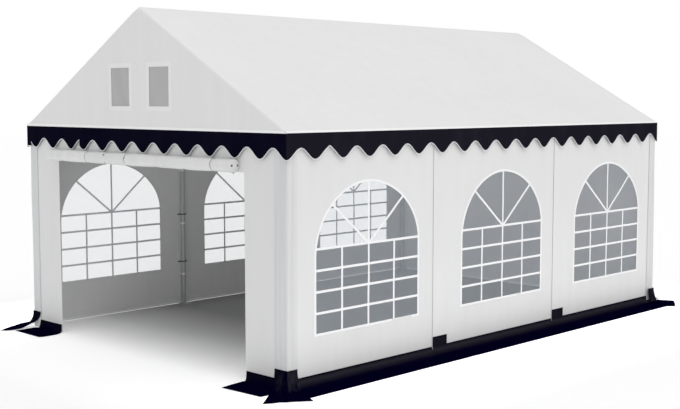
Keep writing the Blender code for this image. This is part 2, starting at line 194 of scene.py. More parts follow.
# Skirts of the end walls: name, direction, side, then corners as (distance across, distance out)
END_SKIRTS = (
    ("back", 1, 1, ((-1.872, 0), (-1.964, 0.28), (1.964, 0.28), (1.872, 0))),
    ("front_right", -1, 1, ((1.482, 0), (1.480, 0.05), (1.495, 0.18), (1.520, 0.309), (1.978, 0.282),
                            (1.985, 0.215), (1.965, 0.12), (1.872, 0))),
    ("front_left", -1, -1, ((1.464, 0), (1.464, 0.007), (1.434, 0.055), (1.418, 0.095), (1.412, 0.200),
                            (1.418, 0.262), (1.440, 0.286), (1.910, 0.284), (1.917, 0.130), (1.918, 0.060),
                            (1.890, 0.015), (1.872, 0))),
)

# Corner fans: the ground edge as (across, along), from the end edge round to the side edge
FAN_LIFT = 0.010
FAN_TOP_Z = 0.172
FAN_FOLD = 0.018            # how proud the gathered folds stand
FANS = {
    "front_right": ((2.165, 3.430), (2.252, 3.280), (2.346, 3.143), (2.392, 3.076)),
    "front_left": ((2.025, 3.400), (2.100, 3.275), (2.208, 3.051), (2.240, 2.961), (2.242, 2.900)),
    "back_right": ((1.994, 3.160), (2.186, 3.238), (2.285, 3.080), (2.380, 2.910), (2.310, 2.845)),
    "back_left": ((2.130, 3.370), (2.245, 3.240), (2.350, 3.030)),
}
# How a fan's end edge and side edge are pulled aside, a third and two thirds of the way down
STRAIGHT = ((0.0, 0.0), (0.0, 0.0))
FAN_LEAN = {
    "front_left": (((0.180, -0.137), (-0.160, -0.030)), STRAIGHT),
    "back_right": (STRAIGHT, ((-0.085, 0.088), (-0.070, 0.030))),
}
FAN_REACH = {               # how far out the two edges still curve down to the ground
    "front_right": (0.16, 0.16), "front_left": (0.30, 0.16), "back_right": (0.055, 0.045),
    "back_left": (0.16, 0.16),
}
FAN_LEGS = {"front_right": (0.161, 0.115), "front_left": (0.142, 0.130), "back_right": (0.152, 0.127)}


# Camera and light

camera = bpy.data.objects.new("camera", bpy.data.cameras.new("camera"))
camera.location = CAMERA_AT
camera.rotation_euler = (CAMERA_PITCH, 0, CAMERA_TURN)
camera.data.lens = CAMERA_LENS
bpy.context.scene.collection.objects.link(camera)
bpy.context.scene.camera = camera
bpy.context.scene.view_settings.view_transform = "Standard"


def build_light():
    """A white backdrop that lights the tent a little less than it shows, and one broad soft key."""
    world = bpy.data.worlds.new("studio")
    world.use_nodes = True
    tree = world.node_tree
    backdrop = tree.nodes["Background"]
    backdrop.inputs["Color"].default_value = (1, 1, 1, 1)
    seen = tree.nodes.new("ShaderNodeLightPath").outputs["Is Camera Ray"]
    strength = tree.nodes.new("ShaderNodeMapRange")
    strength.inputs["To Min"].default_value = DOME_STRENGTH
    tree.links.new(seen, strength.inputs["Value"])
    tree.links.new(strength.outputs[0], backdrop.inputs["Strength"])
    bpy.context.scene.world = world
    sun = bpy.data.lights.new("key", "SUN")
    sun.energy = KEY_STRENGTH
    sun.angle = math.radians(50)
    key = bpy.data.objects.new("key", sun)
    key.rotation_euler = (math.radians(19), 0, math.radians(90))
    bpy.context.scene.collection.objects.link(key)


# Materials

class Nodes:
    """Adds nodes to a material, one call each, with sockets given by name or number."""

    def __init__(self, name, colour, roughness):
        self.material = bpy.data.materials.new(name)
        self.material.use_nodes = True
        self.material.diffuse_color = (*colour, 1)
        self.tree = self.material.node_tree
        self.shader = self.tree.nodes["Principled BSDF"]
        self.set(self.shader, {"Base Color": (*colour, 1), "Roughness": roughness})
        self.place = self.tree.nodes.new("ShaderNodeTexCoord").outputs["Object"]

    def set(self, node, inputs):
        for key, value in inputs.items():
            if isinstance(value, bpy.types.NodeSocket):
                self.tree.links.new(value, node.inputs[key])
            else:
                node.inputs[key].default_value = value

    def add(self, kind, inputs, **settings):
        node = self.tree.nodes.new("ShaderNode" + kind)
        for key, value in settings.items():
            setattr(node, key, value)
        self.set(node, inputs)
        return node

    def number(self, operation, *values, **settings):
        """The outcome of a calculation with numbers."""
        return self.add("Math", dict(enumerate(values)), operation=operation, **settings).outputs[0]

    def vector(self, operation, *values):
        """The outcome of a calculation with vectors, which is a number for a length."""
        node = self.add("VectorMath", dict(enumerate(values)), operation=operation)
        return node.outputs["Value" if operation == "LENGTH" else "Vector"]

    def facing(self):
        """The way the surface faces."""
        return self.add("NewGeometry", {}).outputs["Normal"]

    def noise(self, scale, detail=3.0, stretch=(1, 1, 1), offset=0.0):
        mapped = self.add("Mapping", {"Vector": self.place, "Scale": stretch,
                                      "Location": (offset, offset, offset)})
        return self.add("TexNoise", {"Vector": mapped.outputs[0], "Scale": scale,
                                     "Detail": detail}).outputs["Fac"]

    def between(self, factor, start, end, low_from=0.3, high_from=0.7):
        """A value that goes from start to end as the factor does from low_from to high_from."""
        return self.add("MapRange", {"Value": factor, "From Min": low_from, "From Max": high_from,
                                     "To Min": start, "To Max": end}).outputs[0]

    def tint(self, factor, first, second):
        """A mix of two colours, each written out or made by another node."""
        first, second = (colour if isinstance(colour, bpy.types.NodeSocket) else (*colour, 1)
                         for colour in (first, second))
        return self.add("Mix", {0: factor, 6: first, 7: second}, data_type="RGBA").outputs[2]

    def weave(self, pitch):
        """Crossed threads along the sheet, as a height from 0 to 1."""
        across, along, up = (self.add("TexWave", {"Vector": self.place, "Scale": math.pi / (10 * pitch)},
                                      bands_direction=direction).outputs["Fac"] for direction in "XYZ")
        return self.number("ADD", self.number("MULTIPLY", across, along), up)

    def bump(self, height, distance, strength=1.0, under=None):
        inputs = {"Height": height, "Distance": distance, "Strength": strength}
        if under:
            inputs["Normal"] = under
        return self.add("Bump", inputs).outputs[0]

    def finish(self, colour=None, roughness=None, normal=None, **sockets):
        for key, value in (("Base Color", colour), ("Roughness", roughness), ("Normal", normal)):
            if value is not None:
                self.set(self.shader, {key: value})
        self.set(self.shader, {key.replace("_", " "): value for key, value in sockets.items()})
        return self.material

    def finish_cloth(self, colour, smoothest, roughest, creases, **sockets):
        """Coated woven cloth: an uneven sheen and a fine thread pattern over its creases."""
        rough = self.between(self.noise(3.0, 4, offset=7), smoothest, roughest)
        return self.finish(colour, rough, self.bump(self.weave(0.0024), 0.00012, 0.5, creases), **sockets)


def cloth_material(name, pale, deep, roughness, crease, grain=(1, 1, 0.14)):
    """White cloth: slow changes of tone and soft upright creases."""
    nodes = Nodes(name, pale, roughness)
    tone = nodes.number("ADD", nodes.noise(0.9, 5), nodes.noise(9.0, 5, (1, 1, 0.10), offset=3))
    colour = nodes.tint(nodes.between(tone, 0, 1, 0.7, 1.3), deep, pale)
    creases = nodes.bump(nodes.noise(7.0, 4, grain), crease)
    return nodes.finish_cloth(colour, roughness - 0.06, roughness + 0.06, creases)


def corner_material():
    """Cloth of the corner covers with painted shade: fine upright bands of painted pleat shade, and a cooler,
    greyer painted shade where it faces the ends.
    """
    nodes = Nodes("corner_cover_cloth", (0.74, 0.745, 0.75), 0.5)
    facing = nodes.vector("ABSOLUTE", nodes.facing())
    # painted shade: fine upright bands, darker and lighter, where pleats would shade the cloth
    pleat_shade = nodes.between(nodes.noise(26.0, 4, (1, 1, 0.03), offset=3), 0, 1, 0.38, 0.62)
    sides = nodes.tint(pleat_shade, (0.715, 0.715, 0.715), (0.755, 0.755, 0.755))
    # painted shade: the legs facing the ends get a darker, cooler grey than the legs facing the sides
    ends = nodes.tint(pleat_shade, (0.645, 0.668, 0.674), (0.690, 0.709, 0.714))
    colour = nodes.tint(nodes.add("SeparateXYZ", {0: facing}).outputs["Y"], sides, ends)
    creases = nodes.bump(nodes.noise(11.0, 4, (1, 1, 0.08)), 0.008)
    return nodes.finish_cloth(colour, 0.44, 0.56, creases)


# The navy cloth's tone with a painted sheen: deep blue where it faces up, down or to the ends, painted grey
# sheen where it faces the sides
NAVY_PAINTED_SHEEN = (
    (0.0, (0.0005, 0.0004, 0.0105)),
    (0.25, (0.0006, 0.0005, 0.0105)),
    (0.42, (0.0035, 0.0030, 0.0115)),
    (0.68, (0.0130, 0.0120, 0.0200)),
    (0.88, (0.0250, 0.0240, 0.0320)),
    (0.97, (0.0170, 0.0160, 0.0240)),
    (1.0, (0.0125, 0.0118, 0.0185)),
)


def navy_material(name, sheen, crease, highlight_streaks=(5.0, 0.03)):
    """Dark cloth with a painted sheen: grey where it faces the sides and deep blue elsewhere, with painted
    highlight streaks.
    """
    nodes = Nodes(name, (0.004, 0.0038, 0.0125), 0.6)
    facing = nodes.vector("LENGTH", nodes.vector("MULTIPLY", nodes.facing(), (1, 0.45, 0)))
    scale, wide = highlight_streaks
    streak_highlights = nodes.between(nodes.noise(scale, 4, (1, 1, 0.25)), -wide, wide)
    # painted highlight streaks: noise that shifts the painted sheen in upright streaks
    ramp = nodes.add("ValToRGB", {0: nodes.number("ADD", facing, streak_highlights, use_clamp=True)})
    stops = ramp.color_ramp.elements
    while len(stops) < len(NAVY_PAINTED_SHEEN):
        stops.new(0.5)
    for stop, (place, tone) in zip(stops, NAVY_PAINTED_SHEEN):
        stop.position = place
        stop.color = (*(deep + sheen * (part - deep) for part, deep in zip(tone, NAVY_PAINTED_SHEEN[0][1])), 1)
    creases = nodes.bump(nodes.noise(7.0, 4), crease)
    return nodes.finish_cloth(ramp.outputs[0], 0.55, 0.68, creases, Specular_IOR_Level=0.0)


def film_material():
    nodes = Nodes("window_film", (0.80, 0.88, 0.99), 0.12)
    colour = nodes.tint(nodes.noise(1.6, 4), (0.76, 0.85, 0.97), (0.84, 0.92, 1.0))
    ripple = nodes.bump(nodes.noise(5.0, 2, (1, 1, 0.5)), 0.003)
    rough = nodes.between(nodes.noise(14.0, 4), 0.08, 0.20)
    return nodes.finish(colour, rough, ripple, Alpha=0.118, Specular_IOR_Level=0.3)


def woven_material(name, colour, roughness, spots, deep, pale, pitch, depth, strength):
    """A small woven trim, spotted between two tones."""
    nodes = Nodes(name, colour, roughness)
    tone = nodes.tint(nodes.noise(spots), deep, pale)
    return nodes.finish(tone, None, nodes.bump(nodes.weave(pitch), depth, strength))


def net_material():
    nodes = Nodes("vent_net", (0.46, 0.46, 0.462), 0.7)
    threads = nodes.weave(0.0016)
    colour = nodes.tint(threads, (0.40, 0.40, 0.402), (0.52, 0.52, 0.522))
    return nodes.finish(colour, None, nodes.bump(threads, 0.0004, 0.8))


def fitting_material():
    nodes = Nodes("dark_fitting", (0.03, 0.03, 0.035), 0.45)
    colour = nodes.tint(nodes.noise(60.0), (0.025, 0.025, 0.03), (0.045, 0.045, 0.05))
    return nodes.finish(colour, None, nodes.bump(nodes.noise(500.0), 0.0002, 0.5))


def tube_material():
    nodes = Nodes("powder_coat", (0.50, 0.51, 0.52), 0.42)
    colour = nodes.tint(nodes.noise(2.5, 4), (0.46, 0.47, 0.48), (0.53, 0.54, 0.55))
    rough = nodes.between(nodes.noise(30.0, 3), 0.36, 0.50)
    peel = nodes.bump(nodes.noise(420.0, 2), 0.00015, 0.6)
    return nodes.finish(colour, rough, peel, Metallic=0.15)


HEM_WHITE = cloth_material("welded_hem_cloth", (0.94, 0.94, 0.945), (0.91, 0.91, 0.915), 0.45, 0.002)
PATCH_WHITE = cloth_material("welded_patch_cloth", (0.85, 0.85, 0.853), (0.82, 0.82, 0.823), 0.5, 0.002)
WHITE = cloth_material("coated_white_cloth", (0.81, 0.81, 0.81), (0.78, 0.78, 0.78), 0.5, 0.004)
# painted shade: a darker copy of the white cloth for the front strips and the door header
SHADED_FRONT_WHITE = cloth_material("front_wall_shaded_cloth", (0.765, 0.768, 0.766), (0.735, 0.738, 0.737), 0.5, 0.004)
# painted shade: darker than the white cloth, with deeper dark patches, for the crumpled roll's shading
SHADED_ROLL_WHITE = cloth_material("rolled_shaded_cloth", (0.775, 0.78, 0.775), (0.70, 0.705, 0.705), 0.5, 0.020,
                            (0.45, 1, 1))
CORNER_WHITE = corner_material()
# The sheen argument sets how much painted sheen each navy cloth gets: the fans get strong painted highlight
# streaks, the skirt seams less sheen so they stay darker
NAVY = navy_material("coated_navy_cloth", 1.0, 0.003)
NAVY_FAN = navy_material("gathered_navy_cloth", 0.80, 0.008, (16.0, 0.26))
NAVY_SEAM = navy_material("welded_navy_seam", 0.35, 0.001)
FILM_CLEAR = film_material()
BARS = woven_material("welded_bars", (0.96, 0.965, 0.97), 0.4, 9.0, (0.94, 0.945, 0.95),
                      (0.97, 0.975, 0.98), 0.003, 0.0001, 0.4)
BINDING = woven_material("edge_binding", (0.75, 0.755, 0.77), 0.6, 40.0, (0.72, 0.725, 0.74),
                         (0.78, 0.785, 0.80), 0.0012, 0.0002, 0.6)
# painted shade: the tapes round the roll are darker than their light cloth so they read as shadow lines; the
# same grey serves the roll's tail and the back zip teeth
TAPE = woven_material("woven_tape", (0.44, 0.44, 0.45), 0.7, 60.0, (0.38, 0.38, 0.39),
                      (0.50, 0.50, 0.51), 0.001, 0.0003, 0.8)
FITTING = fitting_material()
NET = net_material()
COAT = tube_material()


# Cutting and hanging cloth

def folds(seed, shortest, longest, count=6):
    """A smooth wavy function of one length, within about -1 and 1."""
    chance = random.Random(seed)
    waves = []
    for step in range(count):
        length = shortest * (longest / shortest) ** (step / (count - 1)) * chance.uniform(0.85, 1.15)
        waves.append((length / longest, 2 * math.pi / length, chance.uniform(0, 2 * math.pi)))
    total = sum(weight for weight, _, _ in waves) ** 0.8
    return lambda u: sum(weight * math.sin(turn * u + start) for weight, turn, start in waves) / total


def ease(value, start, end):
    """From 0 at start to 1 at end, smoothly, and level beyond them."""
    share = min(1.0, max(0.0, (value - start) / (end - start)))
    return share * share * (3 - 2 * share)


def slack(z):
    """How freely a wall hangs at a height, between its tied top and foot."""
    return ease(WALL_TOP_Z - z, 0, 0.5) * ease(z, 0, 0.15)


def rectangle(low_u, high_u, low_v, high_v):
    return [(low_u, low_v), (high_u, low_v), (high_u, high_v), (low_u, high_v)]


def line(start, end, step=0.05):
    """Points from start to end, a step apart."""
    start, end = Vector(start), Vector(end)
    parts = max(1, math.ceil((end - start).length / step))
    return [tuple(start.lerp(end, part / parts)) for part in range(parts + 1)]


def spaced(loop, step):
    """A closed loop of points with its long edges cut up, none longer than a step in u or v."""
    points = []
    for (u, v), (next_u, next_v) in zip(loop, loop[1:] + loop[:1]):
        parts = max(1, math.ceil(max(abs(next_u - u) / step[0], abs(next_v - v) / step[1]) - 1e-6))
        points += [(u + (next_u - u) * part / parts, v + (next_v - v) * part / parts)
                   for part in range(parts)]
    return points


def inside(loop, points):
    """Which of the points lie inside a closed loop."""
    across, up = points[:, 0:1], points[:, 1:2]
    start = np.array(loop)
    end = np.roll(start, -1, axis=0)
    rise = end[:, 1] - start[:, 1]
    crosses = (start[:, 1] > up) != (end[:, 1] > up)
    reach = start[:, 0] + (up - start[:, 1]) * (end[:, 0] - start[:, 0]) / np.where(rise == 0, 1, rise)
    return (crosses & (across < reach)).sum(axis=1) % 2 == 1


def on_sheet(outline, holes, points):
    """Which of the points lie inside the outline and in none of the holes."""
    kept = inside(outline, points)
    for hole in holes:
        kept &= ~inside(hole, points)
    return kept


def lengths_along(points):
    """How far along a path of vectors each of its points lies."""
    return np.concatenate(([0.0], np.cumsum([(b - a).length for a, b in zip(points, points[1:])])))


def wrap(path):
    """Follows a bent path: gives the place at a length along it, pushed out square to it by lift."""
    path = np.array(path)
    gone = np.concatenate(([0.0], np.hypot(*np.diff(path, axis=0).T).cumsum()))

    def at(length, lift=0.0):
        before, here, after = [np.array([np.interp(spot, gone, path[:, axis]) for axis in (0, 1)])
                               for spot in (length - 0.002, length, length + 0.002)]
        ahead = (after - before) / np.linalg.norm(after - before)
        return here + lift * np.array((ahead[1], -ahead[0]))

    return at, float(gone[-1])


def side_face(sign, bulge, offset=0.0):
    """Puts (y, z) on a side wall, pushed outwards by bulge."""
    return lambda y, z, lift=0.0: (sign * (WALL_X + offset + bulge(y, z) + lift), y, z)


def end_face(sign, bulge, offset=0.0):
    """Puts (x, z) on an end wall, pushed outwards by bulge."""
    return lambda x, z, lift=0.0: (x, sign * (WALL_Y + offset + bulge(x, z) + lift), z)


def add_piece(name, mesh, material, replaced=()):
    """One named piece that rides on the tent, in its own finish."""
    piece = bpy.data.objects.new(name, mesh)
    bpy.context.scene.collection.objects.link(piece)
    mesh.materials.append(material)
    mesh.shade_smooth()
    mesh.set_sharp_from_angle(angle=math.radians(40))
    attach(piece, "root")
    if replaced:
        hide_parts(*replaced)
    return piece


def thicken(piece, thickness, outward):
    """Gives a sheet its thickness, kept behind the side that faces outward."""
    mesh = piece.data
    mesh.update()
    facing = sum((polygon.normal * polygon.area for polygon in mesh.polygons), Vector())
    if facing.dot(Vector(outward)) < 0:
        mesh.flip_normals()
    shape = bmesh.new()
    shape.from_mesh(mesh)
    for edge in shape.edges:
        if edge.is_boundary:
            edge.smooth = False
    shape.to_mesh(mesh)
    shape.free()
    solid = piece.modifiers.new("thickness", "SOLIDIFY")
    solid.thickness = thickness
    solid.offset = -1


def cut_mesh(name, outline, holes, step, place):
    """A sheet of triangles cut to an outline with holes, each of its points put where place says."""
    stretch = np.array((1.0, step[0] / step[1]))
    loops = [spaced(loop, step) for loop in (outline, *holes)]
    rim = np.array([point for loop in loops for point in loop])
    edges = []
    first = 0
    for loop in loops:
        edges += [(first + at, first + (at + 1) % len(loop)) for at in range(len(loop))]
        first += len(loop)
    lowest, highest = rim.min(axis=0), rim.max(axis=0)
    rows = [np.linspace(lowest[axis], highest[axis],
                        max(2, round((highest[axis] - lowest[axis]) / step[axis]) + 1))
            for axis in (0, 1)]
    grid = np.stack(np.meshgrid(*rows, indexing="ij"), axis=-1).reshape(-1, 2)
    grid = grid[on_sheet(outline, holes, grid)]
    if len(grid):
        away = np.full(len(grid), np.inf)
        for point in rim:
            away = np.minimum(away, (((grid - point) * stretch) ** 2).sum(axis=1))
        grid = grid[away > (0.45 * step[0]) ** 2]
    points = np.concatenate((rim, grid))
    flat = [Vector(point * stretch) for point in points]
    flat, _, faces, *_ = delaunay_2d_cdt(flat, edges, [], 0, 1e-7)
    points = np.array([tuple(point) for point in flat]) / stretch
    faces = [list(face) for face in faces]
    kept = on_sheet(outline, holes, np.array([points[face].mean(axis=0) for face in faces]))
    mesh = bpy.data.meshes.new(name)
    mesh.from_pydata([place(*point) for point in points], [],
                     [face for face, keep in zip(faces, kept) if keep])
    mesh.update()
    return mesh


def cut_sheet(name, outline, step, place, outward, material, holes=(), thickness=CLOTH, replaced=()):
    """A flat-cut sheet, with a grid of about a step between its points."""
    piece = add_piece(name, cut_mesh(name, outline, holes, step, place), material, replaced)
    thicken(piece, thickness, outward)
    return piece


def grid_mesh(name, rows):
    """A sheet of squares through rows of points, all of equal length."""
    width = len(rows[0])
    faces = [(row * width + at, row * width + at + 1, (row + 1) * width + at + 1, (row + 1) * width + at)
             for row in range(len(rows) - 1) for at in range(width - 1)]
    mesh = bpy.data.meshes.new(name)
    mesh.from_pydata([point for row in rows for point in row], [], faces)
    return mesh


def grid_sheet(name, rows, outward, material, *replaced):
    piece = add_piece(name, grid_mesh(name, rows), material, replaced)
    thicken(piece, CLOTH, outward)
    return piece


def strips(name, paths, width, place, lift, thickness, material, closed=False):
    """One piece of flat strips with square edges that follow paths drawn on a sheet, lifted off it."""
    nowhere = Vector((0, 0))
    shape = bmesh.new()
    for number, path in enumerate(paths):
        points = [Vector(point) for point in path]
        height = lift + STAGGER * number
        rings = []
        for at, point in enumerate(points):
            starts, ends = at == 0 and not closed, at + 1 == len(points) and not closed
            before = nowhere if starts else (point - points[at - 1]).normalized()
            after = nowhere if ends else (points[(at + 1) % len(points)] - point).normalized()
            ahead = (before + after).normalized()
            turn = max(0.5, max(before.dot(ahead), after.dot(ahead)))
            side = Vector((-ahead.y, ahead.x)) * width / 2 / turn
            left, right = point + side, point - side
            corners = ((left, height), (right, height),
                       (right, height + thickness), (left, height + thickness))
            rings.append([shape.verts.new(place(*spot, up)) for spot, up in corners])
        count = len(rings) if closed else len(rings) - 1
        for at in range(count):
            near, far = rings[at], rings[(at + 1) % len(rings)]
            for corner in range(4):
                shape.faces.new((near[corner], near[corner - 3], far[corner - 3], far[corner]))
        if not closed:
            shape.faces.new(rings[0])
            shape.faces.new(list(reversed(rings[-1])))
    bmesh.ops.recalc_face_normals(shape, faces=shape.faces)
    mesh = bpy.data.meshes.new(name)
    shape.to_mesh(mesh)
    shape.free()
    return add_piece(name, mesh, material)


# Roof

def roof_z(x):
    """Height of the cover's outer face, rounded over the ridge."""
    return RIDGE_Z - SLOPE * (math.hypot(x, RIDGE_ROUND) - RIDGE_ROUND)


def edge_drop(x):
    """How far down the cover rolls over the end rafter before it becomes the gable."""
    room = roof_z(x) - EAVE_Z - 0.006
    return max(0.002, min(0.044 + 0.016 * abs(x) / COVER_X, 0.8 * room))


def roof_sag(x, y):
    """How far the cover sags between two pairs of rafters."""
    along = max(0.0, math.sin(math.pi * ((y - POST_YS[0]) / BAY % 1))) if abs(y) < WALL_Y else 0.0
    down = math.sin(math.pi * min(1.0, abs(x) / COVER_X))
    return ROOF_SAG * along * along * down


def eave_profile():
    """The cover's section at the eaves, as (x, z) from its hanging edge up and over onto the slope."""
    shoulder = COVER_X - 0.003
    top = roof_z(shoulder)
    profile = [(COVER_X, top - EAVE_FOLD), (COVER_X, top - 0.004), (COVER_X - 0.0009, top - 0.0012),
               (shoulder, top)]
    return profile + [(shoulder - 0.01 * step, roof_z(shoulder - 0.01 * step)) for step in (1, 2, 3, 4)]


def build_roof():
    """Both slopes as one sheet that turns down over the end rafters, then its eave hems."""
    profile = eave_profile()
    shoulder = profile[3][0]
    half = profile[:3] + [(shoulder * (1 - row / ROOF_ROWS) ** 0.9, None) for row in range(ROOF_ROWS)]
    section = [(-x, z) for x, z in half] + [(0.0, None)] + list(reversed(half))
    inner_y = COVER_Y - EDGE_ROUND
    columns = [(inner_y * (step / 60 - 1), 0.0) for step in range(121)]
    turns = [(inner_y + EDGE_ROUND * math.sin(turn) ** EDGE_SQUARE, 1 - math.cos(turn) ** EDGE_SQUARE)
             for turn in (math.pi / 2 * step / 9 for step in range(1, 10))]
    columns = [(-y, drop) for y, drop in reversed(turns)] + columns + turns
    crease = folds("roof", 0.35, 1.7)
    rows = []
    for x, z in section:
        away = max(0.0, math.sin(math.pi * abs(x) / COVER_X)) if z is None else 0.0
        height = roof_z(x) if z is None else z
        rows.append([(x, y, height - roof_sag(x, y) - edge_drop(x) * drop
                      + ROOF_CREASE * crease(y + 0.6 * x) * away * (1 - drop)) for y, drop in columns])
    roof = grid_sheet("roof_cover", rows, (0, 0, 1), WHITE, "roof_left", "roof_right")
    for side, sign in SIDES:
        build_eave_hem(side, sign, profile)


def build_eave_hem(side, sign, profile):
    """A hem from the cover's hanging edge up and over onto the slope."""
    gone = np.concatenate(([0.0], np.cumsum([math.dist(a, b) for a, b in zip(profile, profile[1:])])))
    width = gone[3] + HEM_WIDTH - EAVE_FOLD
    half = COVER_Y - 0.002
    lift = 0.0014

    def place(y, along):
        x, z = (np.interp(along, gone, [spot[axis] for spot in profile]) for axis in (0, 1))
        steep = 1 - ease(along, gone[1] - 0.001, gone[3] + 0.001)
        return (sign * (x + lift * max(steep, 0.49)), y, z - roof_sag(x, y) + lift * (1 - steep))

    hem = cut_sheet("eave_hem_" + side, rectangle(-half, half, 0.0, width), (0.08, 0.0032), place,
                    (sign, 0, 1), HEM_WHITE, thickness=HEM_CLOTH)


# Gables

def build_gable(place_name, sign):
    """A gable with two vents, the net behind them, its lower hem and the vents' own hems."""
    hem_low, hem_high = EAVE_Z + 0.003, EAVE_Z + HEM_WIDTH - 0.001
    pull = folds("gable" + place_name, 0.3, 1.5)
    outward = (0, sign, 0)
    step = (0.05, 0.05)

    def bulge(x, z):
        top = roof_z(x) - edge_drop(x)
        return 0.003 * ease(z, hem_low, hem_low + 0.3) * ease(top - z, 0, 0.25) * pull(x + 0.3 * z)

    def layer(lift):
        return lambda x, z: face(x, z, lift)

    face = end_face(sign, bulge, COVER_Y - WALL_Y - 0.0002)
    reach = COVER_X - 0.004
    top = [(x, roof_z(x) - edge_drop(x) + 0.002) for x in np.linspace(reach, -reach, 81)]
    vents = [rectangle(start, end, VENT_LOW_Z, VENT_HIGH_Z) for start, end in VENT_XS]
    gable = cut_sheet("gable_cover_" + place_name,
                      [(-reach, hem_low - 0.003), (reach, hem_low - 0.003)] + top, step, face, outward,
                      WHITE, vents, replaced=("gable_" + place_name,))
    net_x = VENT_OUTER_X + 0.015
    net_outline = rectangle(-net_x, net_x, VENT_LOW_Z - 0.015, VENT_HIGH_Z + 0.015)
    net = cut_sheet("vent_net_" + place_name, net_outline, (0.06, 0.06), layer(-0.003), outward, NET,
                    thickness=FILM, replaced=("vent_mesh_" + place_name,))
    hem_outline = [(-reach, hem_low + 0.002), (reach, hem_low - 0.002),
                   (reach - 0.030, hem_high - 0.002), (-reach + 0.030, hem_high + 0.002)]
    hem = cut_sheet("gable_hem_" + place_name, hem_outline, step, layer(0.0024), outward, HEM_WHITE)
    for number, (start, end) in enumerate(VENT_XS, 1):
        outline = rectangle(start - VENT_HEM, end + VENT_HEM, VENT_LOW_Z - VENT_HEM, VENT_HIGH_Z + VENT_HEM)
        patch = cut_sheet(f"vent_hem_{place_name}_{number}", outline, step, layer(0.0010), outward,
                          PATCH_WHITE, vents[number - 1:number], HEM_CLOTH)


# Valances

def scalloped_run(start, end, tip, pitch):
    """The scalloped edge from start to end, as (place along it, height), with a tip at a given place."""
    count = max(2, round((end - start) / 0.012))
    middle, half = (NOTCH_Z + TIP_Z) / 2, (NOTCH_Z - TIP_Z) / 2
    places = [start + (end - start) * step / count for step in range(count + 1)]
    return [(place, middle - half * math.cos(2 * math.pi * (place - tip) / pitch)) for place in places]


def valance_waves(name, stand):
    """The gentle waves of a valance that hangs a stand away from the wall."""
    wave = folds("valance" + name, 0.3, 1.4)
    return lambda along, z: stand + 0.004 * wave(along) * ease(SEWN_Z - z, 0, 0.2) - 0.002


def hang_valance(name, start, end, edge, face, outward, replaced):
    """One length of valance, with a binding along its lower edge."""
    valance = cut_sheet("valance_cloth_" + name, edge + [(end, SEWN_Z), (start, SEWN_Z)], (0.024, 0.024),
                        face, outward, NAVY, replaced=(replaced,))
    binding = strips("valance_binding_" + name, [edge], BINDING_WIDTH, face, -CLOTH - 0.0004,
                     CLOTH + 0.0008, BINDING)


def build_side_valance(side, sign):
    edge = [(y, z + (SIDE_JOINT_Z - NOTCH_Z) * max(0.0, 1 - abs(y + COVER_Y - SIDE_JOINT) / 0.035))
            for y, z in scalloped_run(-COVER_Y, COVER_Y, COVER_Y, SIDE_PITCH)]
    face = side_face(sign, valance_waves(side, COVER_X - WALL_X))
    hang_valance(side, -COVER_Y, COVER_Y, edge, face, (sign, 0, 0), "valance_" + side)


def build_end_valance(place_name, sign):
    """An end's valance in three lengths, from its left corner as seen from outside."""
    waves = end_face(sign, valance_waves(place_name, COVER_Y - WALL_Y))
    half = COVER_X - CLOTH
    for part, start, end, edge in (
            ("corner", -half, CORNER_LAP_X, [(-half, CORNER_LAP_Z), (CORNER_LAP_X, CORNER_LAP_Z)]),
            ("short", CORNER_LAP_X, JOINT_X,
             scalloped_run(CORNER_LAP_X, JOINT_X, JOINT_TIP_X, SHORT_PITCH)),
            ("long", JOINT_X, half, scalloped_run(JOINT_X, half, COVER_X, FRONT_PITCH))):
        hang_valance(f"{place_name}_{part}", start, end, edge,
                     lambda x, z, lift=0.0: waves(-sign * x, z, lift), (0, sign, 0),
                     "valance_" + place_name)


# Side walls and windows

def window_outline(centre, lap, steps=32):
    """A window's edge, moved outwards by lap."""
    points = [(centre - NEAR_HALF[0] - lap, SILL_Z - lap), (centre + FAR_HALF[0] + lap, SILL_Z - lap)]
    for step in range(steps + 1):
        turn = math.pi * step / steps
        sign, (half, spring, power) = (1, FAR_HALF) if step < steps / 2 else (-1, NEAR_HALF)
        across, up = (abs(part) ** (2 / power) for part in (math.cos(turn), math.sin(turn)))
        points.append((centre + sign * (half + lap) * across, spring + (ARCH_TOP_Z + lap - spring) * up))
    return points


def arch_z(y):
    """Height of the arch at a place along it, from its middle."""
    half, spring, power = FAR_HALF if y > 0 else NEAR_HALF
    return spring + (ARCH_TOP_Z - spring) * (1 - (abs(y) / half) ** power) ** (1 / power)


def window_bars(centre):
    """The lines of a window's bars: rows, columns, then the two slanting spokes."""
    inset = BAR / 2
    near, far = centre - (NEAR_HALF[0] - inset), centre + (FAR_HALF[0] - inset)
    rows = [ROW_Z - ROW_STEP * row for row in range(4)]
    paths = [line((near, z), (far, z)) for z in rows]
    paths.append(line((centre, SILL_Z + inset), (centre, arch_z(0) - inset)))
    paths += [line((centre + shift, SILL_Z + inset), (centre + shift, rows[0]))
              for shift in (-WINDOW_HALF / 2, WINDOW_HALF / 2)]
    return paths + [line((centre, rows[0]), (centre + shift, arch_z(shift) - inset))
                    for shift in (-SPOKE_Y, SPOKE_Y)]


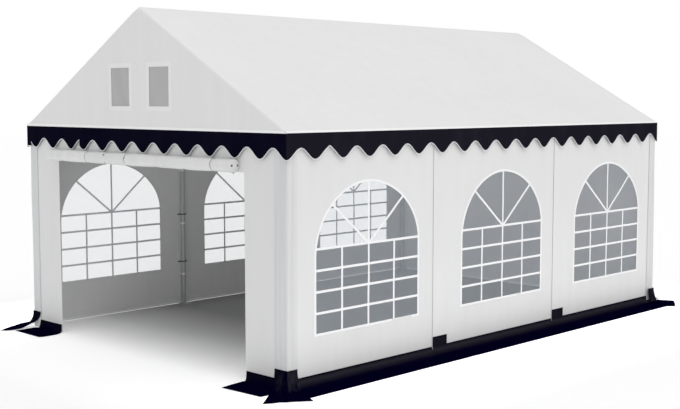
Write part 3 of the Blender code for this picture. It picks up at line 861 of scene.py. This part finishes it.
def post_straps(side, sign, number):
    """Webbing that holds a wall to its post, and the dark elastic loops between them."""
    centre_y = POST_YS[number - 1]
    radius = POST_R + 0.0005
    round_post = [(POST_X - radius * math.sin(turn), centre_y - radius * math.cos(turn))
                  for turn in np.linspace(-0.25, math.pi + 0.25, 19)]
    pieces = []
    for name, heights, half, width, thickness, material in (
            ("straps", STRAP_ZS, 0.052, 0.024, 0.0010, PATCH_WHITE),
            ("loops", LOOP_ZS, 0.066, 0.013, 0.0045, FITTING)):
        at, total = wrap([(WALL_X - 0.008, centre_y - half), *round_post, (WALL_X - 0.008, centre_y + half)])

        def place(length, z, lift=0.0):
            x, y = at(length, -lift)
            return (sign * x, y, z)

        pieces += [strips(f"post_{name}_{side}_{number}_{level}", [line((0.0, z), (total, z), 0.004)], width,
                          place, 0.0, thickness, material) for level, z in enumerate(heights, 1)]
    return pieces


def foot_hem(name, start, end, face):
    """A hem along the inner side of a wall's foot."""
    z = WALL_FOOT_Z + 0.014
    return strips("foot_hem_" + name, [line((start, z), (end, z))], 0.026,
                  lambda u, v, lift=0.0: face(u, v, -CLOTH - lift), 0.0002, 0.0010, HEM_WHITE)


def panel_seam(number):
    """Where the visible near edge of a side's panel lies."""
    return (number - 2) * BAY - BAY / 2 + SEAM_SHIFT


def build_side_wall(side, sign, number, hang):
    """One wall panel with its window, foot hem and the ties to its far post."""
    centre = WINDOW_YS[number] + WINDOW_SHIFT[side]
    start = -WALL_Y + 0.004 if number == 1 else panel_seam(number)
    end = WALL_Y - 0.004 if number == 3 else panel_seam(number) + BAY + LAP

    def bulge(y, z):
        lapped = LAP_STAND * (1 - ease(y, start, start + 0.30)) if number > 1 else 0.0
        free = slack(z) * ease(WALL_Y - abs(y), 0.1, 0.4)
        return lapped + WALL_FOLD * free * hang(y + 0.05 * math.sin(2.1 * z + y))

    def pane_bulge(y, z):
        room = max(0.0, 1 - (abs(y - centre) / 0.7) ** 2) * max(0.0, 1 - (abs(z - 1.05) / 0.7) ** 2)
        return PANE_FOLD * room * hang(2.3 * y + z)

    key = f"{side}_{number}"
    face, pane_face = side_face(sign, bulge), side_face(sign, pane_bulge, -0.0024)
    wall = cut_sheet("wall_panel_" + key, rectangle(start, end, WALL_FOOT_Z, WALL_TOP_Z), (0.028, 0.07), face,
                     (sign, 0, 0), WHITE, [window_outline(centre, 0.001 - BAR)], replaced=("wall_" + key,))
    pane = cut_sheet("window_pane_" + key, window_outline(centre, 0.006 - BAR), (0.06, 0.06), pane_face,
                     (sign, 0, 0), FILM_CLEAR, thickness=FILM, replaced=("window_" + key,))
    bars = strips("window_bars_" + key, window_bars(centre), BAR, pane_face, 0.0002, 0.0007, BARS)
    border = strips("window_border_" + key, [window_outline(centre, -BAR / 2)], BAR, face, 0.0002, 0.0012,
                    BARS, closed=True)
    held = [border, foot_hem(key, start + 0.03, end - 0.03, face)]
    if number < 3:
        held += post_straps(side, sign, number + 1)


# End walls

def hanging_face(sign, hang, depth, sway):
    """An end wall's face in folds of a depth, which sway on their way down."""
    return end_face(sign, lambda x, z: depth * slack(z) * hang(x + sway * math.sin(2 * z)))


def build_end_walls():
    """The strips beside the doorway and the closed back wall."""
    inner_x = WALL_X - 0.006
    for side, sign in SIDES:
        start, end = sorted((sign * DOOR_HALF + 0.008, sign * inner_x))
        strip = cut_sheet("front_strip_" + side, rectangle(start, end, WALL_FOOT_Z, WALL_TOP_Z), (0.03, 0.08),
                          hanging_face(-1, folds("front" + side, 0.10, 0.7, 7), 0.002, 0.04), (0, -1, 0),
                          SHADED_FRONT_WHITE, replaced=("front_wall_" + side,))
    face = hanging_face(1, folds("back", 0.12, 1.2, 8), 0.003, 0.05)
    back = cut_sheet("back_panel", rectangle(-inner_x, inner_x, WALL_FOOT_Z, WALL_TOP_Z), (0.03, 0.08), face,
                     (0, 1, 0), WHITE, replaced=("back_wall",))
    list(back_zips(face))
    foot_hem("back", -inner_x + 0.1, inner_x - 0.1, face)


def back_zips(face):
    """The outline of the back wall's door: flaps on three sides and two upright zips."""
    low_z, high_z = WALL_FOOT_Z + 0.012, HEADER_Z
    zip_x = DOOR_HALF - 0.032

    def uprights(half, start, end, step=0.05):
        return [line((x, start), (x, end), step) for x in (-half, half)]

    top = line((-DOOR_HALF - 0.02, high_z), (DOOR_HALF + 0.02, high_z))
    zips = uprights(zip_x, low_z, high_z - 0.03)
    return [strips("back_zip_flaps", uprights(DOOR_HALF, low_z, high_z) + [top], 0.040, face, 0.0002, 0.0012,
                   PATCH_WHITE),
            strips("back_zips", zips, 0.016, face, 0.0002, 0.0016, BINDING),
            strips("back_zip_teeth", zips, 0.005, face, 0.0018, 0.0012, TAPE),
            strips("back_zip_pulls", uprights(zip_x, low_z + 0.01, low_z + 0.055, 0.01), 0.010, face,
                   0.0030, 0.0020, FITTING)]


# Rolled door

def build_rolled_door():
    """The door's cloth, hanging from its header and wound into a spiral roll, cinched by its ties."""
    left, right = low("front_door").x, high("front_door").x
    header = cut_sheet("door_header", rectangle(left, right, HEADER_Z, WALL_TOP_Z), (0.05, 0.05),
                       lambda x, z: (x, -WALL_Y + 0.002, z), (0, -1, 0), SHADED_FRONT_WHITE,
                       replaced=("front_door",))
    start, end = ROLL_ENDS
    around = 24
    wobble = folds("roll", 0.07, 0.8)
    rows = []
    for column in range(101):
        x = start + (end - start) * column / 100
        cinch = max(math.exp(-((x - tie) / 0.030) ** 2) for tie in TIE_XS)
        size = 1 - 0.09 * cinch + 0.032 * wobble(x)
        row = [(x, -WALL_Y - 0.001, z) for z in np.linspace(WALL_TOP_Z, ROLL_Z + 0.01, 7)]
        for step in range(1, int(ROLL_TURNS * around) + 1):
            turn = 2 * math.pi * step / around
            radius = (ROLL_R - (ROLL_R - 0.006) * step / (ROLL_TURNS * around)) * size
            radius *= 1 + 0.018 * math.sin(turn * 1.7 + 5 * x)
            row.append((x, ROLL_Y + radius * math.cos(turn), ROLL_Z - radius * math.sin(turn)))
        rows.append(row)
    door = grid_sheet("rolled_door", rows, (0, -1, 0), SHADED_ROLL_WHITE, "front_door")
    tie_roll()
    close_roll("left", start, -1)
    close_roll("right", end, 1)


def tie_roll():
    """Tapes round the rolled door, dark toggles on two of them and one loose tail."""
    radius = ROLL_R * 0.945
    path = [(-WALL_Y - 0.004, ROLL_Z + ROLL_R * 0.80)]
    path += [(ROLL_Y + radius * math.cos(turn), ROLL_Z + radius * math.sin(turn))
             for turn in np.linspace(math.radians(78), math.radians(335), 40)]
    at, total = wrap(path)
    top = math.hypot(path[1][0] - path[0][0], path[1][1] - path[0][1])

    def place(x, length, lift=0.0):
        y, z = at(length, -lift)
        return (x + 0.006 * math.sin(9 * (length - top)), y, z)

    tapes = strips("roll_tapes", [line((x, 0.0), (x, total), 0.006) for x in TAPE_XS], 0.011, place,
                   0.0006, 0.0012, TAPE)
    marks = [(x, [top + radius * math.radians(turn) for turn in span]) for x, span in TOGGLES]
    toggles = strips("roll_toggles", [line((x, first), (x, last), 0.004) for x, (first, last) in marks],
                     0.014, place, 0.0010, 0.0060, FITTING)
    under = ROLL_Z - ROLL_R
    hanging = line((ROLL_Y - 0.004, under + 0.004), (ROLL_Y + 0.004, under - 0.009), 0.005)
    tail = strips("roll_tail", [hanging], 0.011, lambda y, z, lift=0.0: (ROLL_ENDS[1] - 0.010 + lift, y, z),
                  0.0, 0.0014, TAPE)
    return [tapes, toggles, tail]


def close_roll(name, x, sign):
    """The folded cloth that closes an end of the roll, with its two eyelets."""
    rings, around = 14, 40
    outer = ROLL_R * 0.95

    def place(y, z, lift=0.0):
        away = math.hypot(y, z) / outer
        dome = 0.010 * (1 - away * away) + 0.0022 * math.sin(math.tau * 3.0 * away - math.atan2(z, y))
        return (x + sign * (dome + 0.0006 + lift), ROLL_Y + y, ROLL_Z + z)

    rows = [[place(outer * ring / rings * math.cos(turn), outer * ring / rings * math.sin(turn))
             for turn in (math.tau * step / around for step in range(around + 1))]
            for ring in range(1, rings + 1)]
    mesh = grid_mesh("roll_end_" + name, rows)
    shape = bmesh.new()
    shape.from_mesh(mesh)
    bmesh.ops.remove_doubles(shape, verts=shape.verts, dist=1e-6)
    centre = shape.verts.new(place(0.0, 0.0))
    shape.verts.ensure_lookup_table()
    inner = sorted((vert for vert in shape.verts if vert is not centre
                    and math.hypot(vert.co.y - ROLL_Y, vert.co.z - ROLL_Z) < outer * 1.5 / rings),
                   key=lambda vert: math.atan2(vert.co.z - ROLL_Z, vert.co.y - ROLL_Y))
    for at, vert in enumerate(inner):
        shape.faces.new((centre, vert, inner[(at + 1) % len(inner)]))
    bmesh.ops.recalc_face_normals(shape, faces=shape.faces)
    shape.to_mesh(mesh)
    shape.free()
    cap = add_piece("roll_end_" + name, mesh, WHITE)
    thicken(cap, CLOTH, (sign, 0, 0))
    circles = [[(y + EYELET_R * math.cos(turn), 0.002 + EYELET_R * math.sin(turn))
                for turn in (math.tau * step / 12 for step in range(12))] for y in EYELET_YS]
    eyelets = strips("roll_eyelets_" + name, circles, 0.007, place, 0.0004, 0.0014, FITTING, closed=True)


# Corner covers

def build_corner_cover(place_name, sign_y, side, sign_x):
    """Cloth folded round a corner of the walls, from foot to top."""
    key = f"{place_name}_{side}"
    end_leg, side_leg = COVER_LEGS[key]
    stand = COVER_STAND[place_name]
    hang = folds("corner" + key, 0.03, 0.09, 5)
    turn = COVER_TURN
    profile = [(WALL_X + spot, WALL_Y, 0.0, spot)
               for spot in (-end_leg + (end_leg - turn) * step / 20 for step in range(20))]
    profile.append((WALL_X - turn, WALL_Y, 0.0, -turn))
    profile += [(WALL_X - turn + turn * math.sin(bent), WALL_Y - turn + turn * math.cos(bent), bent, 0.0)
                for bent in (math.pi / 2 * step / 6 for step in range(1, 7))]
    profile += [(WALL_X, WALL_Y - turn - (side_leg - turn) * step / 18, math.pi / 2,
                 turn + (side_leg - turn) * step / 18) for step in range(1, 19)]
    rows = []
    for z in np.linspace(WALL_FOOT_Z, WALL_TOP_Z, 41):
        row = []
        for x, y, facing, spot in profile:
            edge = min(spot + end_leg, side_leg - spot)
            out = 0.0045 + 0.0042 * ease(edge, 0.0, 0.04) * hang(spot + 0.02 * math.sin(2.2 * z))
            out += stand * (STAND_AT_FOOT - STAND_LOSS * z) * ease(edge, 0.0, min(end_leg, side_leg))
            row.append((sign_x * (x + out * math.sin(facing)), sign_y * (y + out * math.cos(facing)), z))
        rows.append(row)
    cover = grid_sheet("corner_cloth_" + key, rows, (sign_x, sign_y, 0), CORNER_WHITE, "corner_cover_" + key)


# Ground skirts

def bend_table(top_z, drop, reach):
    """Lengths down a skirt, with the distance out and height at each: a quarter ellipse, then the ground."""
    turns = np.linspace(0, math.pi / 2, 25)
    out = reach * (1 - np.cos(turns))
    up = drop * (1 - np.sin(turns))
    along = top_z - drop + np.concatenate(([0.0], np.hypot(np.diff(out), np.diff(up)).cumsum()))
    return (np.array([-1.0, *along, along[-1] + 1]), np.array([0.0, *out, reach + 1]),
            np.array([top_z + 1, *up, 0.0]))


def follow(table, length):
    """Distance out and height at a length down a skirt."""
    lengths, out, up = table
    return float(np.interp(length, lengths, out)), float(np.interp(length, lengths, up))


def length_out(table, out):
    """Length down a skirt at a distance out from the wall."""
    return float(np.interp(out, table[1], table[0])) if out > 0 else 0.0


SKIRT = bend_table(SKIRT_TOP_Z, SKIRT_DROP, SKIRT_BEND)
BENDS = [bend_table(SKIRT_TOP_Z, SKIRT_DROP, SKIRT_BEND - (SKIRT_BEND - SKIRT_SHARP) * step / 20)
         for step in range(21)]


def skirt_bend(sharpness):
    """The bend of a skirt, from its usual round one at 0 to a sharp fold at the ground at 1."""
    return BENDS[round(20 * min(1.0, max(0.0, sharpness)))]


def build_side_skirt(side, sign, number):
    """One length of a side's skirt; the second and third lap over the one before with a raised tab."""
    first, last = number == 1, number == 3
    seam = panel_seam(number)
    start = -WALL_Y + COVER_LEGS["front_" + side][1] - 0.01 if first else seam
    end = WALL_Y - COVER_LEGS["back_" + side][1] - 0.002 if last else seam + BAY + LAP
    tab = TAB_TOP_Z - SKIRT_TOP_Z

    def bend(y):
        return skirt_bend(ease(y, end - 0.10, end) if last else 0.0)

    edge = [(start, 0.0), (SKIRT_NEAR_Y[side] if first else start, SKIRT_REACH),
            (SKIRT_FAR_Y if last else end, SKIRT_REACH), (end, 0.0)]
    outline = [(y, -length_out(bend(y), out)) for near, far in zip(edge, edge[1:])
               for y, out in line(near, far)[:-1]] + [(end, 0.0)]
    if last:
        outline = [spot for spot in outline if spot[0] < end + 0.001 or spot[1] < -0.20]
        outline[-1:] = [(end + TUCK, -TUCK_DROP - 0.008), (end, -TUCK_DROP), (end, 0.0)]
    else:
        over = seam + BAY
        outline += [(over + 0.06, 0.0), (over + 0.03, -0.030), (over - 0.006, -0.030), (over - 0.013, 0.0)]
    if not first:
        outline[0] = (start, tab)
        outline += [(start + LAP, 0.0), (start + LAP, tab)]
    ripple = folds(f"skirt{side}{number}", 0.15, 0.9)

    def place(y, length, lift=0.0):
        out, up = follow(bend(y), -length)
        if last:
            out += COVER_STAND["back"] * STAND_AT_FOOT * ease(y, end, end + 0.11)
            out += 0.004 * ease(y, end - 0.03, end)
        flat = ease(out, 0.06, SKIRT_REACH)
        lift += 0.0 if first else 0.0022 * (1 - ease(y, start + 0.15, start + 0.4))
        wave = ripple(y)
        return (sign * (WALL_X + 0.005 + out * (1 + 0.012 * wave) + lift * (1 - flat)),
                y, up + 0.0035 + 0.0025 * flat * wave + lift * flat)

    skirt = cut_sheet(f"ground_skirt_{side}_{number}", outline, (0.05, 0.014), place, (sign, 0, 1), NAVY,
                      replaced=("skirt_" + side,))
    plain_end = end - 0.004 if last else end - LAP - 0.02
    tops = [line((start + (0.004 if first else LAP), -0.006), (plain_end, -0.006))]
    if not first:
        tops.append(line((start + 0.001, tab - 0.006), (start + LAP - 0.001, tab - 0.006)))
    seams = strips(f"skirt_seam_{side}_{number}", tops, 0.011, place, 0.0002, 0.0008, NAVY_SEAM)
    length_out(SKIRT, SKIRT_REACH) + (0 if first else tab)


def end_skirt_bend(name, x):
    """The bend of an end wall's skirt, folded more sharply at the ends of the front ones."""
    if name == "back":
        return SKIRT
    if name == "front_right":
        return skirt_bend(1 - ease(abs(x), 1.48, 1.62))
    return skirt_bend(max(ease(abs(x), 1.78, 1.872), 1 - ease(abs(x), 1.475, 1.60)))


def build_end_skirt(name, sign, turned, corners):
    ripple = folds("end skirt" + name, 0.12, 0.7)
    outline = [(turned * x, -length_out(end_skirt_bend(name, x), out))
               for x, out in spaced(list(corners), (0.03, 0.03))]

    def place(x, length, lift=0.0):
        out, up = follow(end_skirt_bend(name, x), -length)
        flat = ease(out, 0.06, SKIRT_REACH)
        wave = ripple(x)
        return (x, sign * (WALL_Y + 0.005 + out * (1 + 0.015 * wave) + lift * (1 - flat)),
                up + 0.0035 + (0.0025 * wave + lift) * flat)

    skirt = cut_sheet("ground_skirt_" + name, outline, (0.04, 0.014), place, (0, sign, 1), NAVY,
                      replaced=("skirt_" + name,))
    tops = sorted(turned * x for x, out in corners if out == 0)
    seam = strips("skirt_seam_" + name, [line((tops[0] + 0.002, -0.006), (tops[-1] - 0.002, -0.006))], 0.011,
                  place, 0.0002, 0.0008, NAVY_SEAM)
    across, outs = zip(*corners)
    max(across) - min(across)
    length_out(SKIRT, max(outs))


def fan_line(share, corner, legs, tips, gone, leans):
    """In plan, the way down a fan from its top edge to the ground edge, a share of the way round."""
    end_leg, side_leg = legs
    along = (end_leg + side_leg) * share - end_leg
    top = corner - Vector((max(0.0, -along), max(0.0, along)))
    tip = Vector([np.interp(share * gone[-1], gone, [spot[axis] for spot in tips]) for axis in (0, 1)])
    near_end, near_side = (1 - share) ** 1.5, share ** 1.5
    first, second = [top.lerp(tip, third) + Vector(end_lean) * near_end + Vector(side_lean) * near_side
                     for third, end_lean, side_lean in zip((1 / 3, 2 / 3), *leans)]
    return [top * (1 - s) ** 3 + first * (3 * s * (1 - s) ** 2) + second * (3 * s * s * (1 - s))
            + tip * s ** 3 for s in np.linspace(0, 1, 25)]


def build_fan(place_name, sign_y, side, sign_x):
    """A corner's skirt: gathered cloth that opens from the corner cover out over the ground."""
    stations, steps = 65, 41
    key = f"{place_name}_{side}"
    legs = FAN_LEGS.get(key, COVER_LEGS[key])
    leans = FAN_LEAN.get(key, (STRAIGHT, STRAIGHT))
    end_reach, side_reach = FAN_REACH[key]
    pleat = folds("fan" + key, 0.05, 0.16, 5)
    stand = COVER_STAND[place_name]
    corner = Vector((WALL_X + FAN_LIFT + stand, WALL_Y + FAN_LIFT + stand))
    top_z = FAN_TOP_Z - FAN_LIFT
    tips = [Vector(tip) for tip in FANS[key]]
    gone = lengths_along(tips)
    points = np.zeros((stations, steps, 3))
    proud = np.zeros((stations, steps, 1))
    for station in range(stations):
        share = station / (stations - 1)
        path = fan_line(share, corner, legs, tips, gone, leans)
        ran = lengths_along(path)
        reach = side_reach + (end_reach - side_reach) * (1 - share) ** 1.5
        table = bend_table(top_z, top_z, min(reach, 0.62 * ran[-1]))
        total = length_out(table, ran[-1])
        inner = 0.25 + 0.75 * math.sin(math.pi * share)
        for step in range(steps):
            length = total * step / (steps - 1)
            out, up = follow(table, length)
            spot = [np.interp(out, ran, [place[axis] for place in path]) for axis in (0, 1)]
            points[station, step] = (*spot, up + FAN_LIFT - 0.0055 * ease(length / total, 0.45, 0.9))
            room = ease(length, 0.01, 0.13) * (1 - 0.75 * ease(length, 0.20, total))
            fold = pleat(0.42 * share + 0.02 * math.sin(9 * length))
            proud[station, step] = FAN_FOLD * room * inner * (0.5 + 0.5 * fold)
    facing = np.cross(np.gradient(points, axis=0), np.gradient(points, axis=1))
    facing /= np.linalg.norm(facing, axis=2, keepdims=True)
    facing *= np.sign(facing.sum(axis=2, keepdims=True))
    points = (points + facing * proud) * (sign_x, sign_y, 1)
    fan = grid_sheet("corner_fan_" + key, points.tolist(), (sign_x, sign_y, 2), NAVY_FAN,
                     "corner_skirt_" + key)


def dress_frame():
    """Gives the tubes that stay their finish."""
    for name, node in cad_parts.items():
        if name.startswith(("post_", "rafters_", "ridge_rail", "eave_rail", "gable_bar")):
            for material_slot in node.material_slots:
                material_slot.material = COAT


def build_floor():
    """A pale floor with painted light and shade: it glows around the tent, most beside it, and painted shade
    darkens it inside the tent.
    """
    mesh = bpy.data.meshes.new("floor")
    mesh.from_pydata([(x, y, 0) for x, y in rectangle(-FLOOR_HALF, FLOOR_HALF, -FLOOR_HALF, FLOOR_HALF)],
                     [], [(0, 1, 2, 3)])
    floor = bpy.data.objects.new("floor", mesh)
    nodes = Nodes("pale_floor", (0.9, 0.9, 0.9), 0.8)
    across, along, _ = nodes.add("SeparateXYZ", {0: nodes.place}).outputs
    beside = nodes.number("GREATER_THAN", nodes.number("ABSOLUTE", across), WALL_X)
    behind = nodes.number("GREATER_THAN", along, WALL_Y)
    ahead = nodes.number("POWER", nodes.between(along, 1.0, 0.0, -3.15, -1.70), 2.0)
    outside = nodes.number("MAXIMUM", nodes.number("MAXIMUM", beside, behind), ahead)
    # painted shade: the floor darkens inside the tent, deepening from the doorway back
    tone = nodes.number("MAXIMUM", outside, nodes.between(along, 1.0, 0.0, -2.3, -1.1))
    away = nodes.vector("SUBTRACT", nodes.vector("ABSOLUTE", nodes.place), (WALL_X, WALL_Y, 0))
    away = nodes.vector("LENGTH", nodes.vector("MAXIMUM", away, (0, 0, 0)))
    # painted light: a glow that is strongest right beside the tent and fades away from it
    near = nodes.between(beside, END_GLOW, SIDE_GLOW, 0, 1)
    glow = nodes.number("MULTIPLY", outside, nodes.between(away, near, FAR_GLOW, 0, GLOW_REACH))
    nodes.set(nodes.shader, {"Emission Color": (1, 1, 1, 1), "Emission Strength": glow})
    mesh.materials.append(nodes.finish(nodes.tint(tone, (0.36, 0.36, 0.36), (0.92, 0.92, 0.92))))
    bpy.context.scene.collection.objects.link(floor)


build_light()
build_roof()
for end_of_tent in ENDS:
    build_gable(*end_of_tent)
for side_of_tent in SIDES:
    build_side_valance(*side_of_tent)
for end_of_tent in ENDS:
    build_end_valance(*end_of_tent)
for side_name, side_sign in SIDES:
    wall_folds = folds("wall" + side_name, 0.12, 1.1, 8)
    for panel in (1, 2, 3):
        build_side_wall(side_name, side_sign, panel, wall_folds)
build_end_walls()
build_rolled_door()
for tent_corner in CORNERS:
    build_corner_cover(*tent_corner)
for side_name, side_sign in SIDES:
    for panel in (1, 2, 3):
        build_side_skirt(side_name, side_sign, panel)
for end_skirt in END_SKIRTS:
    build_end_skirt(*end_skirt)
for tent_corner in CORNERS:
    build_fan(*tent_corner)
dress_frame()
build_floor()
